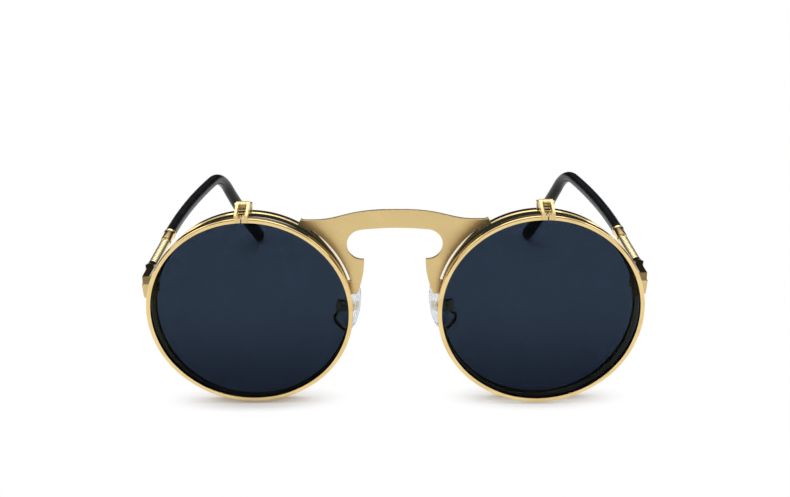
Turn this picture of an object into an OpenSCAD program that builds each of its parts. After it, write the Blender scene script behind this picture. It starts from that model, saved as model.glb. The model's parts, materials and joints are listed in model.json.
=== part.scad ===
// Round flip-up sunglasses: a clear-lens frame with a tinted lens hinged over each eye.
// Millimetres. +X is the wearer's left, +Y runs back along the temples, +Z is up.
// Pieces are drawn for the left side, about the middle of the frame at lens height,
// and mirrored for the right side.

/* [Lenses] */
// Distance from the middle of the frame to the clear opening of each main rim
lens_gap = 11.85; // [11.2:0.05:13]
// Radius of the clear opening in each main rim
main_opening_r = 24.2; // [22:0.1:27]
// How much larger in radius the flip rims are than the main rims
flip_oversize = 0.3; // [0:0.05:0.4]
// Thickness of a clear main lens
main_lens_thick = 1.5; // [1.2:0.1:1.8]
// Thickness of a tinted flip lens
flip_lens_thick = 1.2; // [1:0.1:1.4]
// Radius of the shallow dome of a clear main lens
main_lens_curve = 300; // [250:10:600]
// Radius of the shallow dome of a tinted flip lens
flip_lens_curve = 400; // [250:10:600]

/* [Rims] */
// Radial height of the main rim wire
main_rim_wall = 1.1; // [0.9:0.05:1.3]
// Depth of the main rim wire, front to back
main_rim_depth = 2.4; // [2:0.1:2.5]
// Radial height of the flip rim wire
flip_rim_wall = 1.1; // [0.9:0.05:1.3]
// Depth of the flip rim wire, front to back
flip_rim_depth = 2; // [1.6:0.1:2.2]
// Depth of the lens groove inside each rim
groove_depth = 0.5; // [0.3:0.05:0.55]
// Chamfer on the outer edges of each rim wire
rim_chamfer = 0.25; // [0.1:0.05:0.3]
// Width of the saw cut that opens a rim to take its lens
rim_cut = 0.25; // [0.15:0.05:0.35]

/* [Bridge plate] */
// Thickness of the flat bridge plate
plate_thick = 1.2; // [0.9:0.1:1.5]
// How far the plate stands in front of the main rims
plate_proud = 0.6; // [0.2:0.1:0.8]
// Height of the plate's crown above the tops of the main rims
plate_crown_rise = 0.4; // [-0.4:0.1:0.8]
// Drop from the plate's crown to its low shoulders
plate_shoulder_drop = 2.5; // [2:0.1:3]
// Gap between the plate and each main rim
plate_slot = 0.7; // [0.4:0.05:1]
// Radius of each lobe of the keyhole
keyhole_lobe_r = 3.9; // [3.4:0.1:4.1]
// Distance from the middle to each lobe centre
keyhole_lobe_x = 8; // [7.4:0.1:8.2]
// Drop from the tops of the main rims to the lobe centres
keyhole_drop = 8.5; // [8.3:0.1:9.2]
// Height of the lower end of each plate leg
leg_end_z = 3.8; // [3.2:0.1:4.4]

/* [Flip hinges] */
// Offset of each flip hinge outward from its lens centre
flip_hinge_out = 0.6; // [0:0.1:1.5]
// Distance of the hinge line in front of the main rims' middle plane
flip_axis_front = 4.1; // [3.8:0.1:4.4]
// Height of the hinge line above the tops of the main rims
flip_axis_rise = 2.45; // [2:0.05:2.8]
// Distance of the hinge line behind the flip rim's middle plane
flip_axis_back = 4.7; // [4.4:0.1:5]
// Height of the hinge line above the top of an upright flip rim
flip_axis_over = 1; // [0.8:0.1:1.8]
// Outer radius of the flip hinge barrel
flip_barrel_r = 1.15; // [1:0.05:1.25]
// Radius of the flip hinge screw
flip_screw_r = 0.5; // [0.4:0.05:0.6]
// Width of the middle knuckle of the flip hinge
flip_tongue_w = 1.3; // [1.2:0.1:2]
// Width of each outer ear of the flip hinge
flip_ear_w = 0.95; // [0.9:0.05:1.5]
// Clearance between a closed flip rim and the main rim behind it
flip_rest_gap = 0.3; // [0.3:0.05:0.8]
// How far the left flip stands open, in degrees
flip_open_left = 2; // [0:0.5:10]
// How far the right flip stands open, in degrees
flip_open_right = 0; // [0:0.5:10]

/* [Temple hinges] */
// Distance from the outer edge of each main rim out to its temple's middle line
temple_out = 3.15; // [2.9:0.05:4]
// Distance from each temple's middle line in to its hinge screw
hinge_in = 3.2; // [2.9:0.05:3.4]
// Distance of each temple hinge screw behind the main rims' middle plane
hinge_y = 5; // [4.9:0.1:6]
// Height of the temple hinges above the lens centres
hinge_z = 4.8; // [4.2:0.1:5.2]
// Height of the end piece and of the temple root
hinge_height = 3.6; // [3.2:0.1:4.2]
// Height of each outer knuckle of the temple hinge
end_knuckle_h = 1.15; // [0.9:0.05:1.2]
// Radius of the temple hinge knuckles
knuckle_r = 1.3; // [1.15:0.05:1.35]
// Radius of the temple hinge screw
hinge_screw_r = 0.6; // [0.45:0.05:0.65]
// Width of the temple root's flat wall
root_wall = 1.8; // [1.5:0.05:2]
// Length of the temple root's flat wall
root_flat = 5.5; // [4.5:0.5:6]
// Radius of the collar at the root's rear end
collar_r = 1.45; // [1.35:0.05:1.6]
// Thickness of the end piece's side arm
side_arm_thick = 1.1; // [1:0.1:1.4]

/* [Temples] */
// Upward slope of the temples, in degrees
temple_slope = 1.3; // [0.5:0.1:2]
// Length of temple from the hinge to the ear bend
bend_at = 92.5; // [86:0.5:98]
// Length of the ear bend itself
bend_length = 16; // [10:0.5:18]
// Length of the straight tip past the ear bend
tip_length = 35.5; // [33:0.5:40]
// Length of temple from the hinge to the start of its inward curve
curve_start = 39; // [39:1:50]
// Inward turn of the temple at its very end, in degrees
curve_turn = 18.9; // [12:0.1:21]
// Further inward turn of the temple past its bend, in degrees
tip_turn = 6; // [0:0.5:10]
// Radius of the steel wire inside the temple
temple_wire_r = 0.55; // [0.45:0.05:0.6]

/* [Temple winding] */
// Distance from the hinge to the start of the winding
coil_start = 12.5; // [11.5:0.5:12.5]
// Length of the winding
coil_length = 19.5; // [14:0.5:19.5]
// Distance from one turn of the winding to the next
coil_pitch = 1.1; // [1.05:0.05:1.5]
// Diameter of the winding's wire
coil_wire_d = 0.6; // [0.5:0.05:0.6]
// Radius of the winding to the middle of its wire
coil_r = 1; // [0.95:0.05:1.15]

/* [Ferrules and sleeves] */
// Length of the ferrule between winding and sleeve
ferrule_length = 7; // [5.5:0.5:7]
// Outer radius of the ferrule
ferrule_r = 1.5; // [1.4:0.05:1.6]
// Radius of the sleeve where it leaves the ferrule
sleeve_start_r = 1.6; // [1.5:0.05:1.75]
// Half width of the sleeve at its tip, from side to side
sleeve_tip_wide = 2; // [1.8:0.05:2.1]
// Half height of the sleeve at its tip
sleeve_tip_high = 2.35; // [2.1:0.05:2.5]

/* [Nose pads] */
// Distance from the middle to each pad centre
pad_x = 11.2; // [11:0.1:12]
// Distance of each pad centre behind the main rims' middle plane
pad_y = 6.6; // [6.5:0.1:7.4]
// Height of each pad centre, from the lens centres
pad_z = -2.4; // [-3.6:0.1:-2]
// Outward turn of the pads toward the face, in degrees
pad_splay = 27; // [22:1:30]
// Sideways lean of the pads, in degrees
pad_lean = 14; // [8:1:18]
// Height of a pad
pad_height = 13; // [11:0.5:14]
// Width of a pad
pad_width = 7.4; // [6.6:0.1:7.6]
// Thickness of a pad
pad_thick = 2.4; // [2.2:0.1:2.8]
// Distance from a pad's middle out to the screw it rocks on
pad_pivot = 2.7; // [2.7:0.05:3.2]
// Radius of the pad arm wire
pad_arm_r = 0.5; // [0.4:0.05:0.6]
// Radius of the pad screw
pad_screw_r = 0.35; // [0.3:0.05:0.4]

/* [Hidden] */
$fn = 64;
eps = 0.01;
run_fit = 0.05;
seat_fit = 0.01;
side_gap = 0.05;
lens_fit = 0.04;
through = 20;
gold = [0.84, 0.69, 0.40];
pale_gold = [0.90, 0.82, 0.58];
steel = [0.78, 0.75, 0.66];
smoke = [0.10, 0.13, 0.18, 0.92];
clear = [0.85, 0.90, 0.92, 0.3];
silicone = [0.86, 0.88, 0.92, 0.6];
black = [0.05, 0.05, 0.06];

LEFT = 1;
RIGHT = -1;

// Small helpers for vectors, curves and lists
function unit(v) = v / norm(v);
function lerp(a, b, t) = a + (b - a) * t;
function ease(t) = t <= 0 ? 0 : t >= 1 ? 1 : t * t * (3 - 2 * t);
function bezier(a, b, c, d, t) =
  a * pow(1 - t, 3) + b * 3 * t * pow(1 - t, 2) + c * 3 * t * t * (1 - t) + d * pow(t, 3);
function arc(c, r, from, to, n) = [
  for (i = [0:n]) let (a = lerp(from, to, i / n)) c + r * [cos(a), sin(a)]
];
function running_sum(list, i = 0, acc = [0, 0, 0], out = []) =
  i >= len(list) ? out : running_sum(list, i + 1, acc + list[i], concat(out, [acc + list[i]]));

// An oval ring of points about p, square to t, with half sizes a along side and b across it
function oval(p, t, side, a, b, n) =
  let (u = unit(side - t * (side * t)), v = cross(t, u))
  [for (k = [0:n - 1]) p + u * a * cos(360 * k / n) + v * b * sin(360 * k / n)];

// Directions at the points of a path: along its neighbours, and square to its ends
function path_dirs(path, first, last) = [
  for (i = [0:len(path) - 1])
    i == 0 ? first : i == len(path) - 1 ? last : unit(path[i + 1] - path[i - 1])
];

// A closed skin of triangles through rings of equal count, from first to last
module skin(rings) {
  n = len(rings[0]);
  end = (len(rings) - 1) * n;
  polyhedron(
    points = [for (ring = rings) each ring],
    faces = concat(
      [for (i = [0:len(rings) - 2]) for (k = [0:n - 1]) [i * n + k, (i + 1) * n + k, i * n + (k + 1) % n]],
      [for (i = [0:len(rings) - 2]) for (k = [0:n - 1])
        [i * n + (k + 1) % n, (i + 1) * n + k, (i + 1) * n + (k + 1) % n]],
      [for (k = [1:n - 2]) [0, k, k + 1]],
      [for (k = [1:n - 2]) [end, end + k + 1, end + k]]
    )
  );
}

// Sizes that follow from the rims
main_rim_r = main_opening_r + main_rim_wall;
flip_opening_r = main_opening_r + flip_oversize;
flip_rim_r = flip_opening_r + flip_rim_wall;
lens_centre = main_opening_r + lens_gap;
main_front_y = -main_rim_depth / 2;
main_back_y = main_rim_depth / 2;
plate_front_y = main_front_y - plate_proud;
flip_hinge_x = lens_centre + flip_hinge_out;
flip_axis_z = main_rim_r + flip_axis_rise;
flip_axis_up = flip_rim_r + flip_axis_over;
temple_x = lens_centre + main_rim_r + temple_out;

// Lean at which the foot of a flip rim rests just in front of the main rim
rest_span_y = flip_axis_back - flip_rim_depth / 2;
rest_span_z = flip_axis_up + flip_rim_r;
rest_reach = flip_axis_front + main_front_y - flip_rest_gap;
flip_lean = asin(rest_reach / norm([rest_span_y, rest_span_z])) + atan(rest_span_y / rest_span_z);
function flip_turn(open) = flip_lean - open;

// A point [y, z] from the hinge line of an upright flip, carried into the frame
function flip_point(open, p) =
  let (a = flip_turn(open))
  [p[0] * cos(a) - p[1] * sin(a) - flip_axis_front, p[0] * sin(a) + p[1] * cos(a) + flip_axis_z];
flange = 0.3;
block_top = 0.9;
flip_faces = [-flip_axis_back - flip_rim_depth / 2, -flip_axis_back + flip_rim_depth / 2];
function flip_corners(open) = concat(
  [for (y = flip_faces) for (z = [-flip_rim_r, flip_rim_r]) flip_point(open, [y, z - flip_axis_up])],
  [flip_point(open, [flip_faces[0] - flange, flip_rim_r + block_top - flip_axis_up])]
);
all_corners = concat(flip_corners(flip_open_left), flip_corners(flip_open_right));

// The surface that the glasses stand on, below the lens centres
floor_z = min(-main_rim_r, min([for (p = all_corners) p[1]]));
front_y = min([for (p = all_corners) p[0]]);

// The temple's middle line, by its length from the hinge
temple_total = bend_at + bend_length + tip_length;
temple_steps = 96;
temple_ds = temple_total / temple_steps;
temple_start = [temple_x, hinge_y, hinge_z];
function temple_heading(s) = curve_turn * max(0, s - curve_start) / (temple_total - curve_start)
  + tip_turn * max(0, s - bend_at) / (temple_total - bend_at);
function temple_pitch(s, drop) =
  temple_slope - (temple_slope + drop) * min(1, max(0, (s - bend_at) / bend_length));
function temple_dir(s, drop) = [
  -sin(temple_heading(s)) * cos(temple_pitch(s, drop)),
  cos(temple_heading(s)) * cos(temple_pitch(s, drop)),
  sin(temple_pitch(s, drop))
];
function temple_line(drop) =
  let (moves = [for (i = [0:temple_steps - 1]) temple_ds * temple_dir((i + 0.5) * temple_ds, drop)])
  [for (p = concat([[0, 0, 0]], running_sum(moves))) p + temple_start];

// The tips drop just far enough to stand on the same surface as the flip rims
end_round = 3;
least_drop = 25;
most_drop = 75;
function tip_lowest(drop) =
  temple_line(drop)[temple_steps][2] + end_round * sin(drop)
  - norm([end_round * sin(drop), sleeve_tip_high * cos(drop)]);
function find_drop(low, high, n) =
  let (mid = (low + high) / 2)
  n == 0 ? mid
  : tip_lowest(mid) > floor_z ? find_drop(mid, high, n - 1)
  : find_drop(low, mid, n - 1);
tip_drop = find_drop(least_drop, most_drop, 14);
temple_points = temple_line(tip_drop);
function temple_at(s) =
  let (i = min(temple_steps - 1, floor(s / temple_ds)))
  lerp(temple_points[i], temple_points[i + 1], s / temple_ds - i);
function temple_axis(s) = temple_dir(s, tip_drop);

// Half sizes of the sleeve along its length, ending round
lip_deep = 0.6;
ferrule_end = coil_start + coil_length + ferrule_length;
sleeve_start = ferrule_end - lip_deep;
sleeve_full = temple_total - 3 * end_round;
sleeve_waist = 1.08;
function sleeve_swell(s) = ease((s - bend_at) / (sleeve_full - bend_at));
function sleeve_end(s) =
  s < temple_total - end_round ? 1
  : sqrt(max(0.01, 1 - pow((s - temple_total + end_round) / end_round, 2)));
function sleeve_body_r(s) = sleeve_start_r * lerp(1, sleeve_waist, ease((s - sleeve_start) / 40));
function sleeve_wide(s) = lerp(sleeve_body_r(s), sleeve_tip_wide, sleeve_swell(s)) * sleeve_end(s);
function sleeve_high(s) = lerp(sleeve_body_r(s), sleeve_tip_high, sleeve_swell(s)) * sleeve_end(s);

// Stations along the sleeve: wide on the straight, close at the bend and at the round end
tip_start = bend_at + bend_length;
round_start = temple_total - end_round;
sleeve_stations = concat(
  [for (i = [0:10]) lerp(sleeve_start, bend_at - 1, i / 10)],
  [for (i = [0:7]) lerp(bend_at, tip_start, i / 7)],
  [for (i = [1:6]) lerp(tip_start, round_start, i / 6)],
  [for (a = [25, 50, 70, 84]) round_start + end_round * sin(a)]
);
sleeve_sides = 16;
bore_sides = 12;
sleeve_rings = [
  for (s = sleeve_stations)
    oval(temple_at(s), temple_axis(s), [1, 0, 0], sleeve_wide(s), sleeve_high(s), sleeve_sides)
];

// The footprint's middle and the floor set the origin
back_y = max([for (ring = sleeve_rings) for (p = ring) p[1]]);
origin_shift = [0, -(front_y + back_y) / 2, -floor_z];
module on_side(side) {
  translate(origin_shift) {
    if (side == LEFT) children();
    else mirror([1, 0, 0]) children();
  }
}

// Solids of revolution about the line of sight, from an outline of [radius, forward]
module turned() {
  rotate([90, 0, 0]) rotate_extrude($fn = 128) children();
}

// A round bar along X that starts at x
module cross_bar(x, r, length) {
  translate([x, 0, 0]) rotate([0, 90, 0]) cylinder(r = r, h = length);
}

// A shape drawn by [y, z] points and given a width along X
module side_plate(x, width, points) {
  translate([x, 0, 0]) rotate([90, 0, 90]) linear_extrude(width) polygon(points);
}

// The lens seat inside a rim: lands beside the groove, and a groove that narrows to its floor
groove_land = 0.25;
groove_slope = 0.35;
function groove_mouth(rim_depth) = rim_depth / 2 - groove_land;

// An eyewire with a lens groove inside and chamfered outer edges
module eyewire(inner_r, outer_r, depth) {
  half = depth / 2;
  mouth = groove_mouth(depth);
  floor_half = mouth - groove_slope;
  turned() polygon([
    [inner_r, -half], [outer_r - rim_chamfer, -half], [outer_r, -half + rim_chamfer],
    [outer_r, half - rim_chamfer], [outer_r - rim_chamfer, half], [inner_r, half],
    [inner_r, mouth], [inner_r + groove_depth, floor_half],
    [inner_r + groove_depth, -floor_half], [inner_r, -mouth]
  ]);
}

// A domed lens whose bevelled edge runs in the groove of its rim
module dished_lens(opening_r, rim_depth, thick, curve) {
  land_r = opening_r - lens_fit;
  tip_r = opening_r + groove_depth - lens_fit;
  mouth = groove_mouth(rim_depth) - lens_fit;
  edge = mouth - groove_slope;
  steps = 10;
  function dome(r) = sqrt(curve * curve - r * r) - sqrt(curve * curve - land_r * land_r);
  turned() polygon(concat(
    [for (i = [0:steps]) let (r = land_r * i / steps) [r, dome(r) - thick / 2]],
    [[land_r, -mouth], [tip_r, -edge], [tip_r, edge], [land_r, mouth]],
    [for (i = [steps:-1:0]) let (r = land_r * i / steps) [r, dome(r) + thick / 2]]
  ));
}

// Bridge plate: one half of its outline, from the crown round to the top of the keyhole
function rim_arc(r, from, to, n) = [for (p = arc([0, 0], r, from, to, n)) [lens_centre - p[0], p[1]]];
tab_top = 61;
tab_end = 53.5;
tab_reach = 1.6;
foot_top = 16.5;
solder_r = main_rim_r + seat_fit;
slot_r = main_rim_r + plate_slot;
foot_end = asin(leg_end_z / solder_r);
tab_tip = [lens_centre, 0] + (main_rim_r + tab_reach) * [-cos(tab_top), sin(tab_top)];
plate_crown_z = main_rim_r + plate_crown_rise;
shoulder = [0.895 * tab_tip[0], plate_crown_z - plate_shoulder_drop];
crown_pull = 0.61 * shoulder[0];
shoulder_pull = 0.634 * shoulder[0];
sag = 0.2;
lobe = [keyhole_lobe_x, main_rim_r - keyhole_drop];
arch_z = lobe[1] + keyhole_lobe_r + 0.45;
lobe_from = -95;
lobe_to = 80;
lobe_low = lobe + keyhole_lobe_r * [cos(lobe_from), sin(lobe_from)];
lobe_top = lobe + keyhole_lobe_r * [cos(lobe_to), sin(lobe_to)];
leg_end_w = 1.6;
leg_foot = [lens_centre - solder_r * cos(foot_end) - leg_end_w, leg_end_z];
function plate_half() = concat(
  [for (i = [0:11]) bezier([0, plate_crown_z], [crown_pull, plate_crown_z + sag],
    [shoulder_pull, shoulder[1] - sag], shoulder, i / 11)],
  [for (i = [1:4]) bezier(shoulder, shoulder + [1, 0.03], tab_tip - [0.9, 0.45], tab_tip, i / 4)],
  rim_arc(solder_r, tab_top, tab_end, 4),
  rim_arc(slot_r, tab_end, foot_top, 12),
  rim_arc(solder_r, foot_top, foot_end, 4),
  [for (i = [0:7]) bezier(leg_foot, leg_foot + [-0.9, 3], lobe_low + [0, -4], lobe_low, i / 8)],
  arc(lobe, keyhole_lobe_r, lobe_from, lobe_to, 14),
  [for (i = [1:4]) bezier(lobe_top, lobe_top + [-0.9, 0.16], [3.5, arch_z], [0, arch_z], i / 4)]
);
module bridge_plate() {
  half = plate_half();
  color(gold) translate(origin_shift)
    translate([0, plate_front_y + plate_thick, 0]) rotate([90, 0, 0]) linear_extrude(plate_thick)
      polygon(concat(half, [for (i = [len(half) - 2:-1:1]) [-half[i][0], half[i][1]]]));
}

// Main rim, with the lower half of the block that closes it round its lens
hinge_bottom = hinge_z - hinge_height / 2;
lock_w = 2.2;
lock_deep = 2;
lock_high = 2;
lock_x = lens_centre + main_rim_r;
lock_y = main_back_y + lock_deep / 2;
lock_screw_r = 0.5;
lock_head_r = 0.8;
lock_head_h = 0.45;
module lock_block(z) {
  translate([lock_x - lock_w / 2, lock_y - lock_deep / 2 - rim_chamfer, z])
    cube([lock_w, lock_deep + rim_chamfer, lock_high]);
}
module main_rim(side) {
  color(gold) on_side(side) difference() {
    union() {
      translate([lens_centre, 0, 0]) eyewire(main_opening_r, main_rim_r, main_rim_depth);
      intersection() {
        lock_block(hinge_bottom - rim_cut - lock_high);
        translate([lens_centre, 0, 0]) rotate([90, 0, 0]) difference() {
          cylinder(r = main_rim_r + lock_w, h = through, center = true);
          cylinder(r = main_opening_r, h = through + 2 * eps, center = true, $fn = 128);
        }
      }
    }
    translate([lens_centre + main_opening_r - 4, -5, hinge_bottom - rim_cut]) cube([8, 10, rim_cut]);
    translate([lock_x, lock_y, hinge_bottom - 5]) cylinder(r = lock_screw_r + seat_fit, h = 6);
  }
}
module main_lens(side) {
  color(clear) on_side(side) translate([lens_centre, 0, 0])
    dished_lens(main_opening_r, main_rim_depth, main_lens_thick, main_lens_curve);
}
module rim_screw(side) {
  head_z = hinge_bottom - rim_cut - lock_high - lock_head_h;
  color(steel) on_side(side) translate([lock_x, lock_y, head_z]) difference() {
    union() {
      cylinder(r = lock_head_r, h = lock_head_h);
      cylinder(r = lock_screw_r, h = lock_head_h + 2 * lock_high);
    }
    translate([-1, -0.1, -eps]) cube([2, 0.2, 0.2]);
  }
}

// End piece: a tab on the rim, an arm back to the hinge and the two outer knuckles
knuckle_room = 0.15;
arm_set_in = 1.15;
end_gap = 0.1;
tab_set_in = 0.1;
hinge_x = temple_x - hinge_in;
root_in_x = hinge_x + knuckle_r + knuckle_room;
root_out_x = root_in_x + root_wall;
arm_out_x = root_out_x - arm_set_in;
arm_in_x = arm_out_x - side_arm_thick;
arm_end_y = hinge_y - end_gap;
tab_front_y = main_front_y + tab_set_in;
tab_back_y = main_back_y - tab_set_in;
tab_corner = 0.5;
tab_slant = 0.3;
hinge_mid_h = hinge_height - 2 * (end_knuckle_h + side_gap);
module end_profile(from_x) {
  corner = [arm_out_x - tab_slant - tab_corner, hinge_bottom + tab_corner];
  polygon(concat(
    [[from_x, hinge_bottom]],
    arc(corner, tab_corner, -90, 0, 6),
    [[arm_out_x, hinge_bottom + hinge_height], [from_x, hinge_bottom + hinge_height]]
  ));
}
module end_slab(from_x, front, back) {
  translate([0, back, 0]) rotate([90, 0, 0]) linear_extrude(back - front) end_profile(from_x);
}
module end_piece(side) {
  color(gold) on_side(side) difference() {
    union() {
      end_slab(lens_centre + main_opening_r, tab_front_y, tab_back_y);
      end_slab(arm_in_x, tab_front_y, arm_end_y);
      lock_block(hinge_bottom);
      for (z = [hinge_bottom, hinge_bottom + hinge_height - end_knuckle_h]) {
        translate([hinge_x, hinge_y, z]) cylinder(r = knuckle_r, h = end_knuckle_h);
        translate([hinge_x, hinge_y - knuckle_r, z])
          cube([arm_in_x - hinge_x + eps, arm_end_y - hinge_y + knuckle_r, end_knuckle_h]);
      }
    }
    translate([lens_centre, 0, 0]) rotate([90, 0, 0])
      cylinder(r = solder_r, h = main_rim_depth + 2 * seat_fit, center = true, $fn = 128);
    translate([lens_centre, 0, 0]) rotate([90, 0, 0])
      cylinder(r = main_opening_r, h = through, center = true, $fn = 128);
    translate([lock_x, lock_y, hinge_bottom - 1])
      cylinder(r = lock_screw_r + seat_fit, h = lock_high + 1 + eps);
    translate([hinge_x, hinge_y, hinge_bottom - 1])
      cylinder(r = hinge_screw_r + seat_fit, h = hinge_height + 2);
    translate([hinge_x, hinge_y - knuckle_r - end_gap, hinge_bottom + end_knuckle_h])
      cube([knuckle_r + end_gap, knuckle_r + 2 * end_gap, hinge_height - 2 * end_knuckle_h]);
  }
}
temple_head_r = 0.95;
temple_head_h = 0.3;
module temple_screw(side) {
  color(steel) on_side(side) translate([hinge_x, hinge_y, hinge_bottom]) difference() {
    union() {
      cylinder(r = hinge_screw_r, h = hinge_height + eps);
      translate([0, 0, hinge_height]) cylinder(r = temple_head_r, h = temple_head_h);
    }
    translate([-1, -0.12, hinge_height + temple_head_h - 0.18]) cube([2, 0.24, 1]);
  }
}

// Flip hinge: a bracket on the main rim carries the middle knuckle
flip_width = flip_tongue_w + 2 * (side_gap + flip_ear_w);
bracket_top = flip_axis_z - 0.5;
module flip_bracket(side) {
  axis = [-flip_axis_front, flip_axis_z];
  color(gold) on_side(side) translate([flip_hinge_x, 0, 0]) difference() {
    union() {
      translate([-flip_width / 2, main_front_y, main_opening_r])
        cube([flip_width, main_rim_depth, bracket_top - main_opening_r]);
      side_plate(-flip_tongue_w / 2, flip_tongue_w, [
        axis + flip_barrel_r * [0.1, 0.99], [main_front_y + 0.6, bracket_top],
        [main_front_y + 0.6, bracket_top - 1.1], axis + flip_barrel_r * [0.1, -0.99]
      ]);
      translate([0, axis[0], axis[1]]) cross_bar(-flip_tongue_w / 2, flip_barrel_r, flip_tongue_w);
    }
    translate([-flip_hinge_out, 0, 0]) rotate([90, 0, 0])
      cylinder(r = solder_r, h = 10, center = true, $fn = 128);
    translate([0, axis[0], axis[1]]) cross_bar(-5, flip_screw_r + run_fit, 10);
  }
}

// Places a shape drawn about the hinge line of an upright flip
module on_flip(side, x) {
  open = side == LEFT ? flip_open_left : flip_open_right;
  on_side(side) translate([x, -flip_axis_front, flip_axis_z]) rotate([flip_turn(open), 0, 0])
    children();
}
module on_flip_lens(side) {
  on_flip(side, lens_centre) translate([0, -flip_axis_back, -flip_axis_up]) children();
}
module flip_rim(side) {
  color(gold) on_flip_lens(side) difference() {
    eyewire(flip_opening_r, flip_rim_r, flip_rim_depth);
    translate([flip_hinge_out - rim_cut / 2, -5, flip_opening_r - 3]) cube([rim_cut, 10, 8]);
  }
}
module flip_lens(side) {
  color(smoke) on_flip_lens(side)
    dished_lens(flip_opening_r, flip_rim_depth, flip_lens_thick, flip_lens_curve);
}

// An ear: knuckle, thin arm and a half block soldered beside the cut in the flip rim
ear_start = flip_tongue_w / 2 + side_gap;
ear_arm_w = 0.6;
notch_half = 0.7;
module flip_ear(side, out) {
  front = flip_faces[0];
  back = flip_faces[1];
  rim_top = flip_rim_r - flip_axis_up;
  top = rim_top + block_top;
  low = flip_opening_r - flip_axis_up + 0.15;
  color(gold) on_flip(side, flip_hinge_x) mirror([out ? 0 : 1, 0, 0]) difference() {
    union() {
      cross_bar(ear_start, flip_barrel_r, flip_ear_w);
      side_plate(ear_start + flip_ear_w - ear_arm_w, ear_arm_w, [
        [front, top], flip_barrel_r * [-0.45, 0.89], flip_barrel_r * [0.3, -0.95],
        [back, rim_top]
      ]);
      side_plate(notch_half, ear_start + flip_ear_w - notch_half, [
        [front - flange, low], [front - flange, top - 0.25], [front - flange + 0.25, top],
        [back, top], [back, rim_top - 0.4], [front, rim_top - 0.4], [front, low]
      ]);
      side_plate(rim_cut / 2, notch_half - rim_cut / 2 + eps, [
        [front - flange, low], [front - flange, rim_top + 0.2], [back, rim_top + 0.2],
        [back, rim_top - 0.4], [front, rim_top - 0.4], [front, low]
      ]);
    }
    translate([out ? -flip_hinge_out : flip_hinge_out, back + 1, -flip_axis_up]) rotate([90, 0, 0])
      cylinder(r = flip_rim_r + seat_fit, h = flip_rim_depth + 1 + seat_fit, $fn = 128);
    cross_bar(-5, flip_screw_r + seat_fit, 10);
  }
}
flip_head_r = 0.85;
flip_head_h = 0.35;
module flip_screw(side) {
  color(steel) on_flip(side, flip_hinge_x) difference() {
    union() {
      cross_bar(-flip_width / 2, flip_screw_r, flip_width + eps);
      cross_bar(flip_width / 2, flip_head_r, flip_head_h);
    }
    translate([flip_width / 2 + flip_head_h - 0.18, -1, -0.12]) cube([1, 2, 0.24]);
  }
}

// Puts a shape on the temple's straight part: Z runs back from the hinge, -Y is up
module on_temple(s) {
  translate(temple_start) rotate([temple_slope - 90, 0, 0]) translate([0, 0, s]) children();
}

// Temple root: middle knuckle, flat wall and a taper to the round collar
collar_long = 1.4;
knuckle_web = 1.5;
wire_seat = 3;
wall_shift = (root_in_x + root_out_x) / 2 - temple_x;
taper_end = coil_start - collar_long;
taper_spare = 0.15;
// Half of a taper's outline, from the flat wall's edge to the collar, as [across, along] points
function taper_sides(low, high) = [
  [low, root_flat - eps], [low, root_flat], [-collar_r - taper_spare, taper_end],
  [collar_r + taper_spare, taper_end], [high, root_flat], [high, root_flat - eps]
];
module root_taper() {
  half = hinge_height / 2;
  intersection() {
    translate([0, 5, 0]) rotate([90, 0, 0]) linear_extrude(10)
      polygon(taper_sides(wall_shift - root_wall / 2, wall_shift + root_wall / 2));
    translate([-5, 0, 0]) rotate([90, 0, 90]) linear_extrude(10) polygon(taper_sides(-half, half));
    translate([0, 0, root_flat - eps])
      cylinder(r1 = norm([abs(wall_shift) + root_wall / 2, half]) + taper_spare, r2 = collar_r,
        h = taper_end - root_flat + eps);
  }
}
module temple_root(side) {
  color(gold) on_side(side) difference() {
    union() {
      translate([hinge_x, hinge_y, hinge_z - hinge_mid_h / 2]) {
        cylinder(r = knuckle_r, h = hinge_mid_h);
        cube([root_in_x - hinge_x + 0.2, knuckle_web, hinge_mid_h]);
      }
      on_temple(0) translate([wall_shift - root_wall / 2, -hinge_height / 2, 0])
        cube([root_wall, hinge_height, root_flat]);
      on_temple(0) root_taper();
      on_temple(taper_end) cylinder(r = collar_r, h = collar_long);
    }
    translate([hinge_x, hinge_y, hinge_bottom]) cylinder(r = hinge_screw_r + run_fit, h = hinge_height);
    on_temple(coil_start - wire_seat) cylinder(r = temple_wire_r + seat_fit, h = wire_seat + 1);
  }
}

// Temple wire: one steel core from the collar, through winding and ferrule, into the sleeve
wire_end = temple_total - 4 * end_round;
wire_stations = concat(
  [coil_start - wire_seat, ferrule_end - lip_deep],
  [for (s = sleeve_stations) if (s > sleeve_start && s < wire_end) s],
  [wire_end]
);
module temple_wire(side) {
  color(steel) on_side(side) skin([
    for (s = wire_stations) oval(temple_at(s), temple_axis(s), [1, 0, 0], temple_wire_r, temple_wire_r, 8)
  ]);
}

// Winding: one unbroken tube that leaves the collar straight, bends round and winds back
coil_ramp = 1;
coil_lean = atan2(2 * PI * coil_r, coil_pitch);
coil_ramp_steps = 5;
coil_rise = [
  for (i = [1:coil_ramp_steps]) let (b = coil_lean * (i - 0.5) / coil_ramp_steps)
    coil_ramp / coil_ramp_steps * [sin(b) / coil_r * 180 / PI, cos(b), 0]
];
coil_fall = [for (i = [coil_ramp_steps - 1:-1:0]) coil_rise[i]];
coil_end_length = coil_wire_d + running_sum(coil_rise)[coil_ramp_steps - 1][1];
coil_turns = (coil_length - 2 * coil_end_length) / coil_pitch;
coil_curl = ceil(coil_turns * 8);
coil_moves = concat(
  [[0, coil_wire_d, 0]], coil_rise,
  [for (i = [1:coil_curl]) coil_turns / coil_curl * [360, coil_pitch, 0]],
  coil_fall, [[0, coil_wire_d, 0]]
);
coil_path = [
  for (p = concat([[0, 0, 0]], running_sum(coil_moves))) [coil_r * cos(p[0]), coil_r * sin(p[0]), p[1]]
];
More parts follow.
